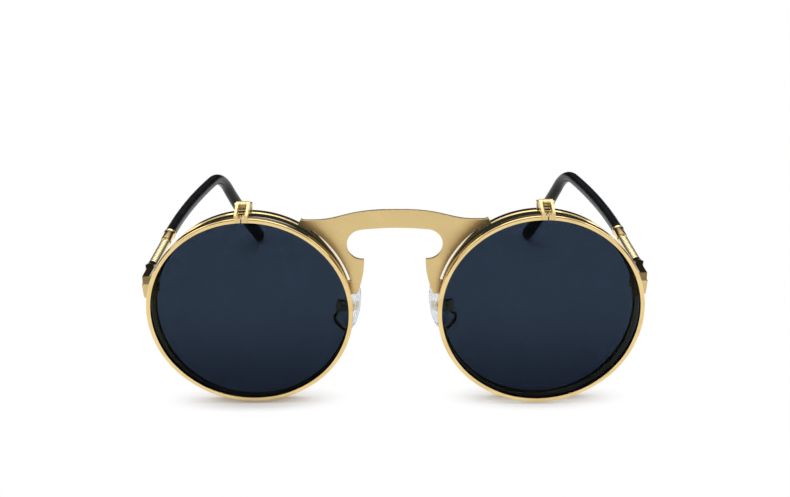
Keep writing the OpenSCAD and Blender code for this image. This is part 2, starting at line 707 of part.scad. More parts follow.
coil_dirs = path_dirs(coil_path, [0, 0, 1], [0, 0, 1]);
coil_rings = [
  for (i = [0:len(coil_path) - 1])
    oval(coil_path[i], coil_dirs[i], [coil_path[i][0], coil_path[i][1], 0], coil_wire_d / 2, coil_wire_d / 2, 6)
];
coil_gap = min([
  for (i = [0:len(coil_rings) - 1]) for (j = [i + 5:min(i + 14, len(coil_rings) - 1)])
    for (a = coil_rings[i]) for (b = coil_rings[j]) norm(a - b)
]);
echo(least_gap_of_the_winding_to_itself = coil_gap);
module temple_coil(side) {
  color(pale_gold) on_side(side) on_temple(coil_start) skin(coil_rings);
}

// Ferrule: a tube on the wire whose rear lip holds the end of the sleeve
lip_wall = 0.15;
module temple_ferrule(side) {
  bore = temple_wire_r + seat_fit;
  seat = sleeve_start_r + seat_fit;
  lip = seat + lip_wall;
  color(gold) on_side(side) on_temple(coil_start + coil_length) rotate_extrude() polygon([
    [bore, 0], [ferrule_r - 0.15, 0], [ferrule_r, 0.15], [ferrule_r, ferrule_length - 1.1],
    [lip, ferrule_length - 0.7], [lip, ferrule_length - 0.1], [lip - 0.1, ferrule_length],
    [seat, ferrule_length], [seat, ferrule_length - lip_deep], [bore, ferrule_length - lip_deep]
  ]);
}

// Sleeve: a soft black tube over the wire that hooks down behind the ear
sleeve_bore_r = temple_wire_r + 0.08;
module temple_sleeve(side) {
  bore_stations = concat(
    [sleeve_start - 1],
    [for (s = sleeve_stations) if (s < wire_end) s],
    [wire_end + 0.2]
  );
  color(black) on_side(side) difference() {
    skin(sleeve_rings);
    skin([
      for (s = bore_stations)
        oval(temple_at(s), temple_axis(s), [1, 0, 0], sleeve_bore_r, sleeve_bore_r, bore_sides)
    ]);
  }
}

// Puts a shape drawn in the pad's own axes in its place: X outward, Y back, Z up
module in_pad() {
  translate([pad_x, pad_y, pad_z]) rotate([0, 0, -pad_splay]) rotate([0, -pad_lean, 0]) children();
}
function pad_turn(p) =
  let (x = p[0] * cos(pad_lean) - p[2] * sin(pad_lean), z = p[0] * sin(pad_lean) + p[2] * cos(pad_lean))
  [x * cos(pad_splay) + p[1] * sin(pad_splay), p[1] * cos(pad_splay) - x * sin(pad_splay), z];
function pad_place(p) = pad_turn(p) + [pad_x, pad_y, pad_z];

// Pad box: a small cup, open toward the pad, whose walls carry the pad screw
box_wall = 0.4;
box_wide = 2.6;
box_high = 2.4;
core_lug_r = 0.68;
box_front = pad_pivot - 0.9;
box_back = pad_pivot + core_lug_r + 0.12 + box_wall;
module pad_box(side) {
  color(gold) on_side(side) in_pad() difference() {
    translate([box_front, -box_wide / 2, -box_high / 2])
      cube([box_back - box_front, box_wide, box_high]);
    translate([box_front - eps, -box_wide / 2 + box_wall, -box_high / 2 + box_wall])
      cube([box_back - box_front - box_wall, box_wide - 2 * box_wall, box_high - 2 * box_wall]);
    translate([pad_pivot, -5, 0]) rotate([-90, 0, 0]) cylinder(r = pad_screw_r + seat_fit, h = 10);
  }
}
pad_head_r = 0.6;
pad_head_h = 0.35;
module pad_screw(side) {
  color(steel) on_side(side) in_pad()
    translate([pad_pivot, -box_wide / 2 - pad_head_h, 0]) rotate([-90, 0, 0]) difference() {
      union() {
        cylinder(r = pad_head_r, h = pad_head_h);
        cylinder(r = pad_screw_r, h = box_wide + pad_head_h);
      }
      translate([-1, -0.1, -eps]) cube([2, 0.2, 0.16]);
    }
}

// Pad arm: a bent wire from the back of the main rim to the foot of the pad box
arm_angle = 18;
arm_foot_r = main_opening_r + main_rim_wall / 2;
arm_foot = [lens_centre - arm_foot_r * cos(arm_angle), main_back_y, -arm_foot_r * sin(arm_angle)];
arm_head = [pad_pivot + 0.6, 0, -box_high / 2];
arm_straight = 0.5;
arm_reach_foot = 2.5;
arm_reach_head = 3;
arm_swing = 3.2;
function arm_bend(t) = bezier(
  arm_foot + [0, arm_straight, 0], arm_foot + [0, arm_reach_foot, 0],
  pad_place(arm_head + [arm_swing, 0, -arm_reach_head]), pad_place(arm_head - [0, 0, arm_straight]), t
);
arm_path = concat([arm_foot], [for (i = [0:12]) arm_bend(i / 12)], [pad_place(arm_head)]);
arm_dirs = path_dirs(arm_path, [0, 1, 0], pad_turn([0, 0, 1]));
module pad_arm(side) {
  color(gold) on_side(side) skin([
    for (i = [0:len(arm_path) - 1]) oval(arm_path[i], arm_dirs[i], [1, 0, 0], pad_arm_r, pad_arm_r, 10)
  ]);
}

// Pad core: a plate moulded into the pad, with the lug that rocks on the pad screw
core_plate_r = 1.8;
core_plate_h = 0.6;
core_stem_h = 0.6;
core_wide = box_wide - 2 * box_wall - 2 * side_gap;
module core_shape(grow) {
  translate([-core_plate_h / 2 - grow, 0, 0]) rotate([0, 90, 0])
    cylinder(r = core_plate_r + grow, h = core_plate_h + 2 * grow);
  translate([0, -core_wide / 2 - grow, -core_stem_h / 2 - grow])
    cube([pad_pivot, core_wide + 2 * grow, core_stem_h + 2 * grow]);
}
module pad_core(side) {
  color(steel) on_side(side) in_pad() difference() {
    union() {
      core_shape(0);
      translate([pad_pivot, -core_wide / 2, 0]) rotate([-90, 0, 0]) cylinder(r = core_lug_r, h = core_wide);
    }
    translate([pad_pivot, -5, 0]) rotate([-90, 0, 0]) cylinder(r = pad_screw_r + run_fit, h = 10);
  }
}

// Nose pad: a soft egg-shaped pad, domed toward the nose
pad_layers = [[-0.5, 0.5], [-0.43, 0.74], [-0.25, 0.93], [0, 1], [0.25, 0.94], [0.43, 0.8], [0.5, 0.66]];
pad_sides = 28;
pad_egg = 0.12;
function pad_ring(layer) = [
  for (k = [0:pad_sides - 1]) let (a = 360 * k / pad_sides)
    [layer[0] * pad_thick,
     -layer[1] * pad_width / 2 * sin(a) * (1 - pad_egg * cos(a)),
     layer[1] * pad_height / 2 * cos(a)]
];
module nose_pad(side) {
  color(silicone) on_side(side) in_pad() difference() {
    skin([for (layer = pad_layers) pad_ring(layer)]);
    core_shape(seat_fit);
  }
}

bridge_plate();
main_rim(LEFT);  // main_rim_left
main_rim(RIGHT);  // main_rim_right
main_lens(LEFT);  // main_lens_left
main_lens(RIGHT);  // main_lens_right
end_piece(LEFT);  // end_piece_left
end_piece(RIGHT);  // end_piece_right
rim_screw(LEFT);  // rim_screw_left
rim_screw(RIGHT);  // rim_screw_right
flip_bracket(LEFT);  // flip_bracket_left
flip_bracket(RIGHT);  // flip_bracket_right
flip_rim(LEFT);  // flip_rim_left
flip_rim(RIGHT);  // flip_rim_right
flip_lens(LEFT);  // flip_lens_left
flip_lens(RIGHT);  // flip_lens_right
flip_ear(LEFT, false);  // flip_ear_inner_left
flip_ear(RIGHT, false);  // flip_ear_inner_right
flip_ear(LEFT, true);  // flip_ear_outer_left
flip_ear(RIGHT, true);  // flip_ear_outer_right
flip_screw(LEFT);  // flip_screw_left
flip_screw(RIGHT);  // flip_screw_right
temple_root(LEFT);  // temple_root_left
temple_root(RIGHT);  // temple_root_right
temple_screw(LEFT);  // temple_screw_left
temple_screw(RIGHT);  // temple_screw_right
temple_wire(LEFT);  // temple_wire_left
temple_wire(RIGHT);  // temple_wire_right
temple_coil(LEFT);  // temple_coil_left
temple_coil(RIGHT);  // temple_coil_right
temple_ferrule(LEFT);  // temple_ferrule_left
temple_ferrule(RIGHT);  // temple_ferrule_right
temple_sleeve(LEFT);  // temple_sleeve_left
temple_sleeve(RIGHT);  // temple_sleeve_right
pad_arm(LEFT);  // pad_arm_left
pad_arm(RIGHT);  // pad_arm_right
pad_box(LEFT);  // pad_box_left
pad_box(RIGHT);  // pad_box_right
pad_screw(LEFT);  // pad_screw_left
pad_screw(RIGHT);  // pad_screw_right
pad_core(LEFT);  // pad_core_left
pad_core(RIGHT);  // pad_core_right
nose_pad(LEFT);  // nose_pad_left
nose_pad(RIGHT);  // nose_pad_right
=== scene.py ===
"""Round flip-up sunglasses: the visible pieces, their finishes and the studio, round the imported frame."""

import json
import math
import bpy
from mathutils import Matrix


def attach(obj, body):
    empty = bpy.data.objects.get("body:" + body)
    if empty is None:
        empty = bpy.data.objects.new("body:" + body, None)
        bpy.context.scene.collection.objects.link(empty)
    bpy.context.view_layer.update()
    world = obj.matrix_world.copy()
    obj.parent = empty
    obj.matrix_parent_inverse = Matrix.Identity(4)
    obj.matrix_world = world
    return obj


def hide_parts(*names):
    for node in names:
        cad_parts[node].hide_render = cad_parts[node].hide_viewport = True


bl_info = {
    "name": "Flip-up sunglasses",
    "version": (1, 0, 0),
    "blender": (4, 5, 0),
    "location": "3D View > Sidebar > Flip-up",
    "description": "Builds the visible pieces of round flip-up sunglasses round their packed frame",
    "category": "Object",
}

import bmesh
import bpy
from bpy.props import FloatProperty, FloatVectorProperty, IntProperty, PointerProperty
from mathutils import Matrix, Vector

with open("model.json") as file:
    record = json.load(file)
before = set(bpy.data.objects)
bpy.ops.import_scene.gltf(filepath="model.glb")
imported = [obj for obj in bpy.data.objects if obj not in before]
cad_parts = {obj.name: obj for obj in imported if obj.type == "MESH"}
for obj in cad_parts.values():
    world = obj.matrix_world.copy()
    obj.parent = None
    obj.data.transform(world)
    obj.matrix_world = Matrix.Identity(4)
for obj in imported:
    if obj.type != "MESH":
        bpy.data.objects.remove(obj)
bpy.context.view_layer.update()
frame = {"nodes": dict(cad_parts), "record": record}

NODES = frame["nodes"]
RECORD = frame["record"]
BODY_OF = {node: body for body, nodes in RECORD["behaviour"]["bodies"].items() for node in nodes}
SLOT_OF = {part["node"]: part["material_slot"] for part in RECORD["subparts"]}

MM = 0.001
SIDES = {"left": 1, "right": -1}
X_AXIS = Vector((1, 0, 0))
Y_AXIS = Vector((0, 1, 0))
Z_AXIS = Vector((0, 0, 1))

# The point midway between the main lenses, from which the front's places are measured
FRONT_ORIGIN = Vector((0, -62.4689, 25.3)) * MM

# The lenses: how far they stand to the side, and the hinge about which the flip lenses lean
LENS_X = 36.05 * MM
MAIN_RIM_DEPTH = 2.4 * MM
FLIP_RIM_DEPTH = 2 * MM
MAIN_DOME = 300 * MM
FLIP_DOME = 400 * MM
FLIP_AXIS = Vector((0, -4.1, 27.75)) * MM + FRONT_ORIGIN
FLIP_BACK = Vector((0, -4.7, -26.6)) * MM
FLIP_LEAN = math.radians(6.90226)
FLIP_OPEN = {"left": math.radians(2), "right": 0.0}

# The temple's middle line, by its length from the hinge
TEMPLE_START = Vector((64.5, 5.0, 4.8)) * MM + FRONT_ORIGIN
TEMPLE_TOTAL = 144 * MM
TEMPLE_SLOPE = math.radians(1.3)
CURVE_START = 39 * MM
CURVE_TURN = math.radians(18.9)
TIP_TURN = math.radians(6)
BEND_AT = 92.5 * MM
BEND_LENGTH = 16 * MM
TIP_DROP = math.radians(46.3852)
COIL_START = 12.5 * MM
COIL_LENGTH = 19.5 * MM
FERRULE_LENGTH = 7 * MM
FERRULE_RADIUS = 1.5 * MM
LIP_DEEP = 0.6 * MM
FERRULE_END = COIL_START + COIL_LENGTH + FERRULE_LENGTH
SLEEVE_START = FERRULE_END - LIP_DEEP
WIRE_START = COIL_START - 3 * MM
WIRE_END = TEMPLE_TOTAL - 12 * MM

# The nose pads' place and lean
PAD_CENTRE = Vector((11.2, 6.6, -2.4)) * MM + FRONT_ORIGIN
PAD_SPLAY = math.radians(27)
PAD_LEAN = math.radians(14)


def metres(millimetres, name, description):
    """A length property that is written in millimetres and kept in metres."""
    return FloatProperty(
        name=name, description=description, default=millimetres * MM, min=0, precision=5, unit="LENGTH"
    )


def colour(value, name, description):
    """A colour property, as linear red, green and blue."""
    return FloatVectorProperty(
        name=name, description=description, default=value, size=3, min=0, max=1, subtype="COLOR"
    )


class FLIPUP_PG_sizes(bpy.types.PropertyGroup):
    """Sizes of the visible pieces"""

    edge_round: metres(0.1, "Edge rounding", "Rounding of the metal pieces' edges")
    rim_round: metres(0.15, "Rim rounding", "Rounding of the rims' edges")
    small_round: metres(0.05, "Small edge rounding", "Rounding of the screws' and hinges' edges")
    coil_radius: metres(1.0, "Winding radius", "Radius of the winding to the middle of its wire")
    coil_pitch: metres(1.1, "Winding pitch", "Distance from one turn of the winding to the next")
    coil_wire: metres(0.6, "Winding wire height", "Radial thickness of the winding's wire")
    coil_width: metres(1.0, "Winding wire width", "Width of the winding's wire along the temple")
    wire_radius: metres(0.55, "Temple wire radius", "Radius of the steel wire inside the temple")
    sleeve_radius: metres(1.6, "Sleeve radius", "Radius of the sleeve where it leaves the ferrule")
    tip_wide: metres(2, "Tip half width", "Half width of the sleeve near its tip")
    tip_high: metres(2.35, "Tip half height", "Half height of the sleeve near its tip")
    pad_height: metres(13, "Pad height", "Height of a nose pad")
    pad_width: metres(7.4, "Pad width", "Width of a nose pad")
    pad_thick: metres(2.4, "Pad thickness", "Thickness of a nose pad")
    arm_radius: metres(0.5, "Pad arm radius", "Radius of the wire that carries a nose pad")
    main_opening: metres(24.2, "Main opening radius", "Radius of a main rim's opening")
    flip_opening: metres(24.5, "Flip opening radius", "Radius of a flip rim's opening")
    main_thick: metres(1.5, "Main lens thickness", "Thickness of a clear main lens")
    flip_thick: metres(1.2, "Flip lens thickness", "Thickness of a tinted flip lens")
    lens_steps: IntProperty(
        name="Lens steps", description="Steps of a lens round its edge", default=128, min=32, max=256
    )


class FLIPUP_PG_colours(bpy.types.PropertyGroup):
    """Colours of the finishes"""

    gold: colour((0.87, 0.655, 0.31), "Gold", "Polished gold plating")
    gold_deep: colour((0.66, 0.44, 0.16), "Deep gold", "Gold plating where it is thicker or less rubbed")
    plate_gold: colour((0.78, 0.585, 0.27), "Plate gold", "Gold plating of the flat bridge plate")
    pale_gold: colour((0.88, 0.75, 0.45), "Pale gold", "Gold plating of the winding")
    # The two root golds are gold darkened in colour: painted dark reflection, standing in for the dark
    # surroundings that the gold roots reflect
    root_painted_dark_gold: colour((0.26, 0.165, 0.05), "Root gold", "Darkened gold of the temple roots")
    root_painted_darkest: colour((0.03, 0.02, 0.007), "Dark root gold", "Temple roots where they are darkest")
    steel: colour((0.80, 0.72, 0.55), "Steel", "Plated small screws")
    wire: colour((0.55, 0.53, 0.50), "Wire", "Spring steel wire")
    smoke: colour((0.024, 0.037, 0.061), "Smoke", "Tint of the flip lenses")
    smoke_low: colour((0.009, 0.0145, 0.028), "Low smoke", "Tint at the foot of the flip lenses")
    clear: colour((0.97, 0.985, 0.98), "Clear", "Tint of the clear lenses")
    clear_tone: colour((0.94, 0.97, 0.97), "Clear tone", "Tone in the clear lenses' coating")
    black: colour((0.003, 0.0035, 0.005), "Black", "Sleeves")
    black_worn: colour((0.008, 0.0085, 0.012), "Worn black", "Sleeves where they are rubbed")
    silicone: colour((0.80, 0.86, 0.95), "Silicone", "Nose pads")
    silicone_pale: colour((0.90, 0.93, 0.97), "Pale silicone", "Nose pads where they are palest")


def measures():
    """The sizes of the visible pieces, as the panel has them."""
    return bpy.context.scene.flipup_sizes


def tints():
    """The colours of the finishes, as the panel has them."""
    return bpy.context.scene.flipup_colours


# Shader maths


class Link:
    """One output of a node, which takes part in sums as a number does."""

    def __init__(self, finish, socket):
        self.finish = finish
        self.socket = socket

    def sum(self, operation, a, b):
        """A Math node of two links or numbers."""
        return self.finish.node("Math", {0: a, 1: b}, operation=operation)

    def __add__(self, other):
        return self.sum("ADD", self, other)

    def __sub__(self, other):
        return self.sum("SUBTRACT", self, other)

    def __rsub__(self, other):
        return self.sum("SUBTRACT", other, self)

    def __mul__(self, other):
        return self.sum("MULTIPLY", self, other)

    def __pow__(self, other):
        return self.sum("POWER", self, other)


class Finish:
    """One material under construction."""

    def __init__(self, data):
        data.use_nodes = True
        self.data = data
        self.tree = data.node_tree
        self.tree.nodes.clear()

    def node(self, kind, sockets=None, output=0, stops=None, **settings):
        """Adds a node: settings and ramp stops first, then the values or links of its sockets."""
        made = self.tree.nodes.new("ShaderNode" + kind)
        for key, value in settings.items():
            setattr(made, key, value)
        for stop, (place, tint) in zip(self.ramp_stops(made, stops), stops or ()):
            stop.position = place
            stop.color = (*tint, 1)
        for key, value in (sockets or {}).items():
            self.feed(made.inputs[key], value)
        return Link(self, made.outputs[output])

    def ramp_stops(self, made, stops):
        """As many stops on a colour ramp as are asked for."""
        if not stops:
            return ()
        while len(made.color_ramp.elements) < len(stops):
            made.color_ramp.elements.new(1)
        return made.color_ramp.elements

    def feed(self, socket, value):
        """Gives a socket a link, a colour or a number."""
        if isinstance(value, Link):
            self.tree.links.new(value.socket, socket)
        elif socket.type == "RGBA":
            socket.default_value = (*value, 1)
        else:
            socket.default_value = value

    def place(self):
        """Where a point of the surface is, in metres."""
        return self.node("TexCoord", output="Object")

    def mapped(self, vector, scale=(1, 1, 1), turn=(0, 0, 0)):
        """A vector that is turned and scaled."""
        return self.node("Mapping", {"Vector": vector, "Scale": scale, "Rotation": turn})

    def noise(self, vector, scale, detail=2, roughness=0.5):
        """Soft noise from 0 to 1."""
        sockets = {"Vector": vector, "Scale": scale, "Detail": detail, "Roughness": roughness}
        return self.node("TexNoise", sockets, output="Fac")

    def spread(self, value, low, high, to_low=0, to_high=1):
        """Value from low to high, spread over to_low to to_high, with smooth ends."""
        sockets = {"Value": value, "From Min": low, "From Max": high, "To Min": to_low, "To Max": to_high}
        return self.node("MapRange", sockets, interpolation_type="SMOOTHSTEP")

    def blend(self, share, first, second):
        """A colour between two colours."""
        sockets = {"Factor": share, 6: first, 7: second}
        return self.node("Mix", sockets, output=2, data_type="RGBA")

    def bump(self, height, distance, strength=1):
        """A normal that follows a height."""
        return self.node("Bump", {"Height": height, "Distance": distance, "Strength": strength})

    def principled(self, **sockets):
        """The main shader, with its sockets named as keywords."""
        return self.node("BsdfPrincipled", {key.replace("_", " "): value for key, value in sockets.items()})

    def surface(self, shader):
        """Ends the material with its shader."""
        self.node_output("OutputMaterial", shader)
        return self.data

    def node_output(self, kind, shader):
        """Adds the output node of a material or a world."""
        made = self.tree.nodes.new("ShaderNode" + kind)
        self.tree.links.new(shader.socket, made.inputs["Surface"])


FINISHES = {}


def finish_named(name):
    """A material of the finishes, which is made once and shared by its pieces."""
    if name not in FINISHES:
        FINISHES[name] = FINISH_MAKERS[name](Finish(bpy.data.materials.new(name)))
    return FINISHES[name]


CLOUD_SCALE = 180
CLOUD_ROUGHNESS = 1.35
DEEP_SHARE = 0.55
RUBBED_SHARE = 0.8
SCRATCH_SCALE = (900, 5200, 2600)
SCRATCH_TURN = (0.5, 0.35, 0.7)
SCRATCH_ROUGHNESS = 0.05


def plated(f, bright, deep, rough, grain, relief, metal=1.0):
    """Plated metal: faint clouds in the plating, rubbed corners, hair-fine scratches and orange peel."""
    place = f.place()
    clouds = f.noise(place, CLOUD_SCALE, detail=3)
    scratches = f.noise(f.mapped(place, SCRATCH_SCALE, SCRATCH_TURN), scale=1, detail=3, roughness=0.7)
    peel = f.noise(place, grain)
    rubbed = f.spread(f.node("NewGeometry", output="Pointiness"), 0.5, 0.56)
    share = f.spread(clouds, 0.35, 0.7, to_high=DEEP_SHARE) * (1 - rubbed * RUBBED_SHARE)
    clouded = f.spread(clouds, 0.3, 0.7, rough, rough * CLOUD_ROUGHNESS)
    return f.surface(
        f.principled(
            Base_Color=f.blend(share, bright, deep),
            Metallic=metal,
            Roughness=clouded + scratches * SCRATCH_ROUGHNESS - 0.4 * SCRATCH_ROUGHNESS,
            Normal=f.bump(peel * 0.6 + scratches * 0.4, relief, 0.5),
        )
    )


def gold_wire(f):
    """Polished gold of the rims, ferrules and pad arms."""
    return plated(f, tints().gold, tints().gold_deep, rough=0.09, grain=1500, relief=0.004 * MM)


def gold_plate(f):
    """Satin gold of the bridge plate, end pieces, hinge parts and pad boxes."""
    return plated(
        f, tints().plate_gold, tints().gold, rough=0.25, grain=2200, relief=0.006 * MM, metal=0.85
    )


def pale_gold(f):
    """Pale gold of the winding."""
    return plated(f, tints().pale_gold, tints().gold, rough=0.16, grain=2600, relief=0.004 * MM)


def root_painted_dark_gold(f):
    """Gold of the temple roots, darkened in its colour: a painted dark reflection, with random clouds of a
    still darker tone.
    """
    return plated(f, tints().root_painted_dark_gold, tints().root_painted_darkest, rough=0.14, grain=1800, relief=0.006 * MM)


def screw_steel(f):
    """Plated steel of the screws and pad cores."""
    return plated(f, tints().steel, tints().gold_deep, rough=0.2, grain=3000, relief=0.004 * MM)


def core_wire(f):
    """Bare spring steel of the wire inside the temple."""
    return plated(f, tints().wire, tints().steel, rough=0.28, grain=3000, relief=0.004 * MM)


TINT_FOOT = 2 * MM
TINT_FULL = 32 * MM


def smoke_lens(f):
    """Smoke-blue tinted lens, darker toward its foot, with faint clouds in the tint."""
    place = f.place()
    height = f.node("SeparateXYZ", {"Vector": place}, output="Z")
    share = f.spread(height, TINT_FOOT, TINT_FULL) - f.noise(place, 45) * 0.06
    return f.surface(
        f.principled(
            Base_Color=f.blend(share, tints().smoke_low, tints().smoke),
            Roughness=0.0,
            IOR=1.1,
            Transmission_Weight=1.0,
        )
    )


def clear_lens(f):
    """Clear lens with a faint tone in its coating."""
    tone = f.blend(f.noise(f.place(), 60), tints().clear, tints().clear_tone)
    return f.surface(f.principled(Base_Color=tone, Roughness=0.0, IOR=1.12, Transmission_Weight=1.0))


def black_sleeve(f):
    """Smooth black plastic with a soft shine, finely rubbed along its length."""
    place = f.place()
    clouds = f.noise(place, 220, detail=3)
    rubs = f.noise(f.mapped(place, (3500, 260, 3500)), scale=1, detail=3, roughness=0.65)
    share = f.spread(clouds * 0.6 + rubs * 0.4, 0.42, 0.68)
    return f.surface(
        f.principled(
            Base_Color=f.blend(share, tints().black, tints().black_worn),
            Roughness=f.spread(rubs, 0.3, 0.7, to_low=0.2, to_high=0.3),
            Specular_IOR_Level=0.15,
            Coat_Weight=0.04,
            Coat_Roughness=0.06,
            Normal=f.bump(rubs * 0.5 + clouds * 0.5, 0.006 * MM, 0.4),
        )
    )


def silicone(f):
    """Clear soft silicone, faintly clouded."""
    place = f.place()
    cloud = f.noise(place, 320, detail=3)
    return f.surface(
        f.principled(
            Base_Color=f.blend(f.spread(cloud, 0.35, 0.7), tints().silicone, tints().silicone_pale),
            Roughness=f.spread(cloud, 0.3, 0.7, to_low=0.08, to_high=0.17),
            IOR=1.2,
            Transmission_Weight=0.88,
            Normal=f.bump(f.noise(place, 1400), 0.01 * MM, 0.4),
        )
    )


FINISH_MAKERS = {
    "gold_wire": gold_wire,
    "gold_plate": gold_plate,
    "pale_gold": pale_gold,
    "root_painted_dark_gold": root_painted_dark_gold,
    "steel": screw_steel,
    "core_wire": core_wire,
    "smoke_lens": smoke_lens,
    "clear_lens": clear_lens,
    "black_sleeve": black_sleeve,
    "silicone": silicone,
}

# Meshes and pieces

# Points this close are one, faces this flat are one, and edges this sharp are rounded
MERGE = 0.002 * MM
FLAT = math.radians(0.3)
SHARP = math.radians(31)


def piece_of(bm, name, sharp=SHARP):
    """An object from a bmesh, smooth except along its sharp edges, with its faces outward."""
    bmesh.ops.recalc_face_normals(bm, faces=bm.faces)
    for face in bm.faces:
        face.smooth = True
    mesh = bpy.data.meshes.new(name)
    bm.to_mesh(mesh)
    bm.free()
    mesh.set_sharp_from_angle(angle=sharp)
    piece = bpy.data.objects.new(name, mesh)
    bpy.context.scene.collection.objects.link(piece)
    return piece


def seat(piece, node, finish=None):
    """Gives a piece its finish, and the body and slot of the node that it stands for."""
    piece.data.materials.append(finish_named(finish or SLOT_OF[node]))
    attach(piece, BODY_OF[node])
    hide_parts(node)


def rounded(node, width, segments=2, finish=None):
    """A piece with the shape of a node and rounded edges."""
    bm = bmesh.new()
    bm.from_mesh(NODES[node].data)
    bmesh.ops.remove_doubles(bm, verts=bm.verts, dist=MERGE)
    bmesh.ops.dissolve_limit(bm, angle_limit=FLAT, verts=bm.verts, edges=bm.edges)
    piece = piece_of(bm, "rounded_" + node)
    bevel = piece.modifiers.new("Rounded edges", "BEVEL")
    bevel.width = width
    bevel.segments = segments
    bevel.limit_method = "ANGLE"
    bevel.angle_limit = SHARP
    bevel.use_clamp_overlap = True
    bevel.harden_normals = True
    seat(piece, node, finish)
    return piece


def mirrored(bm, side):
    """Turns a left shape into a right one."""
    if side == "right":
        bmesh.ops.scale(bm, vec=(-1, 1, 1), verts=bm.verts)
    return bm


def turned(profile, steps):
    """A closed solid turned about Y, from an outline of (radius, back) that starts and ends on the axis."""
    bm = bmesh.new()
    verts = [bm.verts.new((r, y, 0)) for r, y in profile]
    edges = [bm.edges.new(pair) for pair in zip(verts, verts[1:])]
    bmesh.ops.spin(
        bm, geom=verts + edges, cent=(0, 0, 0), axis=Y_AXIS, angle=math.tau, steps=steps, use_merge=True
    )
    bmesh.ops.remove_doubles(bm, verts=bm.verts, dist=MERGE)
    return bm


def station(place, along, side, wide, high):
    """The matrix that carries a unit ring in XY to an oval at a place on a path."""
    along = along.normalized()
    side = (side - along * side.dot(along)).normalized()
    up = along.cross(side)
    return Matrix(
        (
            (side.x * wide, up.x * high, along.x, place.x),
            (side.y * wide, up.y * high, along.y, place.y),
            (side.z * wide, up.z * high, along.z, place.z),
            (0, 0, 0, 1),
        )
    )


def swept(stations, sides, shape=None):
    """A closed tube: a ring extruded from station to station, with both ends filled."""
    bm = bmesh.new()
    ring = bmesh.ops.create_circle(bm, cap_ends=True, segments=sides, radius=1)["verts"]
    if shape:
        for vert in ring:
            vert.co = shape(vert.co)
    bmesh.ops.transform(bm, matrix=stations[0], verts=ring)
    edges = list(bm.edges)
    for last, this in zip(stations, stations[1:]):
        grown = bmesh.ops.extrude_edge_only(bm, edges=edges)["geom"]
        verts = [item for item in grown if isinstance(item, bmesh.types.BMVert)]
        rim = set(verts)
        edges = [
            item
            for item in grown
            if isinstance(item, bmesh.types.BMEdge) and item.verts[0] in rim and item.verts[1] in rim
        ]
        bmesh.ops.transform(bm, matrix=this @ last.inverted(), verts=verts)
    bmesh.ops.edgeloop_fill(bm, edges=edges)
    return bm


def ease(share):
    """A share held between 0 and 1, with smooth ends."""
    share = min(1, max(0, share))
    return share * share * (3 - 2 * share)


def lerp(first, second, share):
    """The value at a share of the way from one value to another."""
    return first + (second - first) * share


def spaced(start, end, steps):
    """Values from start to end in equal steps."""
    return [lerp(start, end, i / steps) for i in range(steps + 1)]


def bezier(points, share):
    """A point of a cubic curve through four control points."""
    a, b, c, d = points
    rest = 1 - share
    return a * rest**3 + b * (3 * share * rest**2) + c * (3 * share**2 * rest) + d * share**3


# Temples


def temple_along(length):
    """Direction of the temple's middle line at a length from the hinge."""
    heading = CURVE_TURN * max(0, length - CURVE_START) / (TEMPLE_TOTAL - CURVE_START)
    heading += TIP_TURN * max(0, length - BEND_AT) / (TEMPLE_TOTAL - BEND_AT)
    bent = min(1, max(0, (length - BEND_AT) / BEND_LENGTH))
    pitch = TEMPLE_SLOPE - (TEMPLE_SLOPE + TIP_DROP) * bent
    return Vector(
        (-math.sin(heading) * math.cos(pitch), math.cos(heading) * math.cos(pitch), math.sin(pitch))
    )


LINE_STEPS = 960
LINE_STEP = TEMPLE_TOTAL / LINE_STEPS


def temple_line():
    """Points of the temple's middle line, one after each small step along it."""
    points = [TEMPLE_START]
    for i in range(LINE_STEPS):
        points.append(points[-1] + temple_along((i + 0.5) * LINE_STEP) * LINE_STEP)
    return points


TEMPLE_LINE = temple_line()


def temple_at(length):
    """A point of the temple's middle line."""
    whole = min(LINE_STEPS - 1, int(length / LINE_STEP))
    return TEMPLE_LINE[whole].lerp(TEMPLE_LINE[whole + 1], length / LINE_STEP - whole)


def temple_station(length, wide, high):
    """A station of a sweep along the temple, with its half width and half height."""
    return station(temple_at(length), temple_along(length), X_AXIS, wide, high)


BEND_END = BEND_AT + BEND_LENGTH
ROUND_START = TEMPLE_TOTAL - 3 * MM
END_ROUND = TEMPLE_TOTAL - ROUND_START
END_ANGLES = range(8, 90, 7)
END_LEAST = 0.02
SLEEVE_FULL = TEMPLE_TOTAL - 9 * MM
SLEEVE_WIDENS = 40 * MM
SLEEVE_WAIST = 1.08
SLEEVE_SIDES = 40
WIRE_SIDES = 20


def sleeve_halves(length):
    """Half width and half height of the sleeve."""
    waist = lerp(1, SLEEVE_WAIST, ease((length - SLEEVE_START) / SLEEVE_WIDENS))
    body = measures().sleeve_radius * waist
    swell = ease((length - BEND_AT) / (SLEEVE_FULL - BEND_AT))
    past = max(0, (length - ROUND_START) / END_ROUND)
    end = math.sqrt(max(END_LEAST**2, 1 - past**2))
    return lerp(body, measures().tip_wide, swell) * end, lerp(body, measures().tip_high, swell) * end


def sleeve_bm():
    """The sleeve: a long soft tube that hooks down and ends round."""
    lengths = spaced(SLEEVE_START, BEND_AT - 1 * MM, 40)
    lengths += spaced(BEND_AT, BEND_END, 24)
    lengths += spaced(BEND_END, ROUND_START, 24)[1:]
    lengths += [ROUND_START + END_ROUND * math.sin(math.radians(angle)) for angle in END_ANGLES]
    return swept([temple_station(length, *sleeve_halves(length)) for length in lengths], SLEEVE_SIDES)


def wire_bm():
    """The temple's steel wire, from the root's collar into the sleeve."""
    radius = measures().wire_radius
    lengths = spaced(WIRE_START, WIRE_END, 110)
    return swept([temple_station(length, radius, radius) for length in lengths], WIRE_SIDES)


TURN_STEPS = 28
TUCK_STEPS = 9
TUCK_LEAST = 0.08
COIL_MARGIN = 1.1
COIL_SIDES = 12


